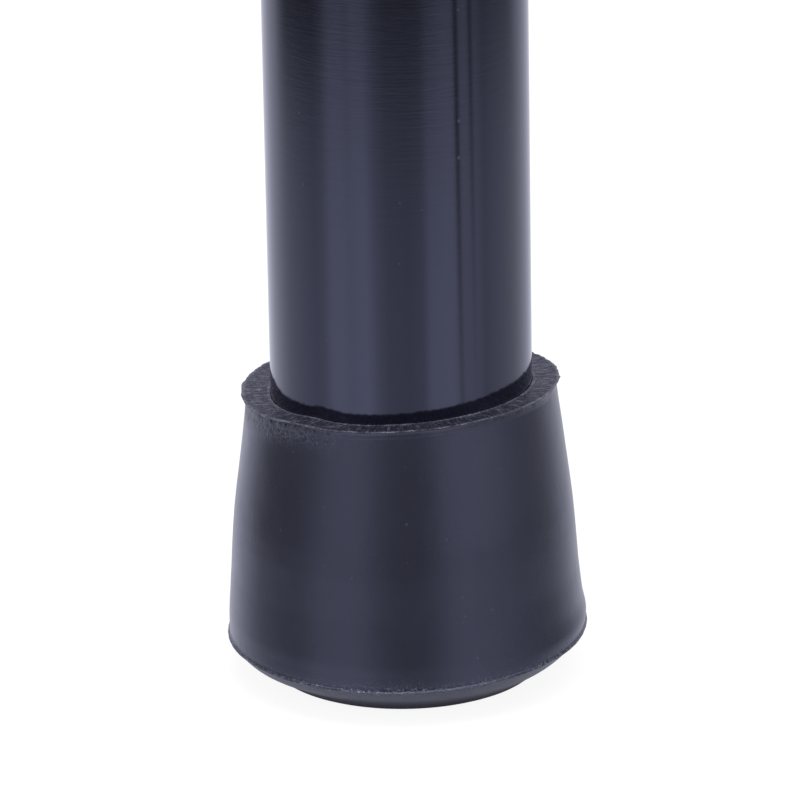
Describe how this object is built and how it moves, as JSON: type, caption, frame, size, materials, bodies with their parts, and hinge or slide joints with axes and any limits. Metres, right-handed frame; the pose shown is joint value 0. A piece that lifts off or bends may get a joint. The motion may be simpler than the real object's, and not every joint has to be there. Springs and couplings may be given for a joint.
{
  "type": "ladder stabilizer",
  "caption": "U-shaped wall stand-off for a ladder: a tube crossbar with U-bolt rung clamps, and bent tube arms that telescope from its ends onto rubber cup feet.",
  "frame": {"origin": "on the plane both feet stand on, midway between the feet, under the middle of the crossbar", "axes": "+X along the crossbar, +Z from the wall the feet rest on towards the ladder, +Y across, so the feet point -Z"},
  "size_m": [1.164, 0.07, 0.3782],
  "materials": {
    "black_tube": "gloss",
    "foot_rubber": "satin",
    "zinc_steel": "satin",
    "guide_plastic": "satin",
    "knob_plastic": "textured",
    "block_plastic": "satin",
    "sleeve_vinyl": "gloss",
    "liner_rubber": "matte"
  },
  "bodies": {
    "crossbar": {"crossbar_tube": "black_tube", "left_mouth_bushing": "guide_plastic", "left_bushing_rivets": "zinc_steel", "right_mouth_bushing": "guide_plastic", "right_bushing_rivets": "zinc_steel"},
    "left_arm": {"left_arm_tube": "black_tube", "left_arm_glide": "guide_plastic", "left_arm_weld_nut": "zinc_steel", "left_foot": "foot_rubber", "left_foot_disc": "zinc_steel"},
    "left_knob_saddle": {"left_saddle_washer": "zinc_steel"},
    "left_knob": {"left_knob_head": "knob_plastic", "left_knob_stud": "zinc_steel"},
    "left_liner": {"left_clamp_liner": "liner_rubber"},
    "left_clamp": {"left_rung_block": "block_plastic", "left_clamp_strap": "zinc_steel", "left_clamp_washers": "zinc_steel"},
    "left_u_bolt_set": {"left_u_bolt": "zinc_steel", "left_u_bolt_sleeve": "sleeve_vinyl"},
    "left_front_nut": {"left_front_wing_nut": "zinc_steel"},
    "left_rear_nut": {"left_rear_wing_nut": "zinc_steel"},
    "right_arm": {"right_arm_tube": "black_tube", "right_arm_glide": "guide_plastic", "right_arm_weld_nut": "zinc_steel", "right_foot": "foot_rubber", "right_foot_disc": "zinc_steel"},
    "right_knob_saddle": {"right_saddle_washer": "zinc_steel"},
    "right_knob": {"right_knob_head": "knob_plastic", "right_knob_stud": "zinc_steel"},
    "right_liner": {"right_clamp_liner": "liner_rubber"},
    "right_clamp": {"right_rung_block": "block_plastic", "right_clamp_strap": "zinc_steel", "right_clamp_washers": "zinc_steel"},
    "right_u_bolt_set": {"right_u_bolt": "zinc_steel", "right_u_bolt_sleeve": "sleeve_vinyl"},
    "right_front_nut": {"right_front_wing_nut": "zinc_steel"},
    "right_rear_nut": {"right_rear_wing_nut": "zinc_steel"}
  },
  "joints": [
    {"name": "left_arm_slide", "type": "slide", "parent": "crossbar", "child": "left_arm", "axis": [-1, 0, 0], "range_m": [-0.06, 0.06]},
    {"name": "left_knob_travel", "type": "slide", "parent": "left_arm", "child": "left_knob_saddle", "axis": [0, 0, -1], "range_m": [0, 0.005]},
    {"name": "left_knob_turn", "type": "hinge", "parent": "left_knob_saddle", "child": "left_knob", "pos_m": [-0.285, 0, 0.255], "axis": [0, 0, -1], "range_deg": [0, 1441]},
    {"name": "left_liner_slide", "type": "slide", "parent": "crossbar", "child": "left_liner", "axis": [-1, 0, 0], "range_m": [-0.03, 0.03]},
    {"name": "left_clamp_swivel", "type": "hinge", "parent": "left_liner", "child": "left_clamp", "pos_m": [-0.14, 0, 0.285], "axis": [1, 0, 0], "range_deg": [-45, 45]},
    {"name": "left_front_nut_turn", "type": "hinge", "parent": "left_clamp", "child": "left_front_nut", "pos_m": [-0.14, -0.0252, 0.2575], "axis": [0, 0, -1], "range_deg": [0, 5762]},
    {"name": "left_rear_nut_turn", "type": "hinge", "parent": "left_clamp", "child": "left_rear_nut", "pos_m": [-0.14, 0.0252, 0.2575], "axis": [0, 0, -1], "range_deg": [0, 5762]},
    {"name": "left_u_bolt_slide", "type": "slide", "parent": "left_clamp", "child": "left_u_bolt_set", "axis": [0, 0, 1], "range_m": [0, 0.02]},
    {"name": "right_arm_slide", "type": "slide", "parent": "crossbar", "child": "right_arm", "axis": [1, 0, 0], "range_m": [-0.06, 0.06]},
    {"name": "right_knob_travel", "type": "slide", "parent": "right_arm", "child": "right_knob_saddle", "axis": [0, 0, -1], "range_m": [0, 0.005]},
    {"name": "right_knob_turn", "type": "hinge", "parent": "right_knob_saddle", "child": "right_knob", "pos_m": [0.285, 0, 0.255], "axis": [0, 0, -1], "range_deg": [0, 1441]},
    {"name": "right_liner_slide", "type": "slide", "parent": "crossbar", "child": "right_liner", "axis": [1, 0, 0], "range_m": [-0.03, 0.03]},
    {"name": "right_clamp_swivel", "type": "hinge", "parent": "right_liner", "child": "right_clamp", "pos_m": [0.14, 0, 0.285], "axis": [1, 0, 0], "range_deg": [-45, 45]},
    {"name": "right_front_nut_turn", "type": "hinge", "parent": "right_clamp", "child": "right_front_nut", "pos_m": [0.14, -0.0252, 0.2575], "axis": [0, 0, -1], "range_deg": [0, 5762]},
    {"name": "right_rear_nut_turn", "type": "hinge", "parent": "right_clamp", "child": "right_rear_nut", "pos_m": [0.14, 0.0252, 0.2575], "axis": [0, 0, -1], "range_deg": [0, 5762]},
    {"name": "right_u_bolt_slide", "type": "slide", "parent": "right_clamp", "child": "right_u_bolt_set", "axis": [0, 0, 1], "range_m": [0, 0.02]}
  ],
  "couplings": [
    {"joint": "left_knob_turn", "follows": "left_knob_travel", "rad_per_m": 5026.5},
    {"joint": "left_front_nut_turn", "follows": "left_u_bolt_slide", "rad_per_m": 5026.5},
    {"joint": "left_rear_nut_turn", "follows": "left_u_bolt_slide", "rad_per_m": 5026.5},
    {"joint": "right_knob_turn", "follows": "right_knob_travel", "rad_per_m": 5026.5},
    {"joint": "right_front_nut_turn", "follows": "right_u_bolt_slide", "rad_per_m": 5026.5},
    {"joint": "right_rear_nut_turn", "follows": "right_u_bolt_slide", "rad_per_m": 5026.5},
    {"joint": "right_clamp_swivel", "follows": "left_clamp_swivel", "ratio": 1}
  ]
}
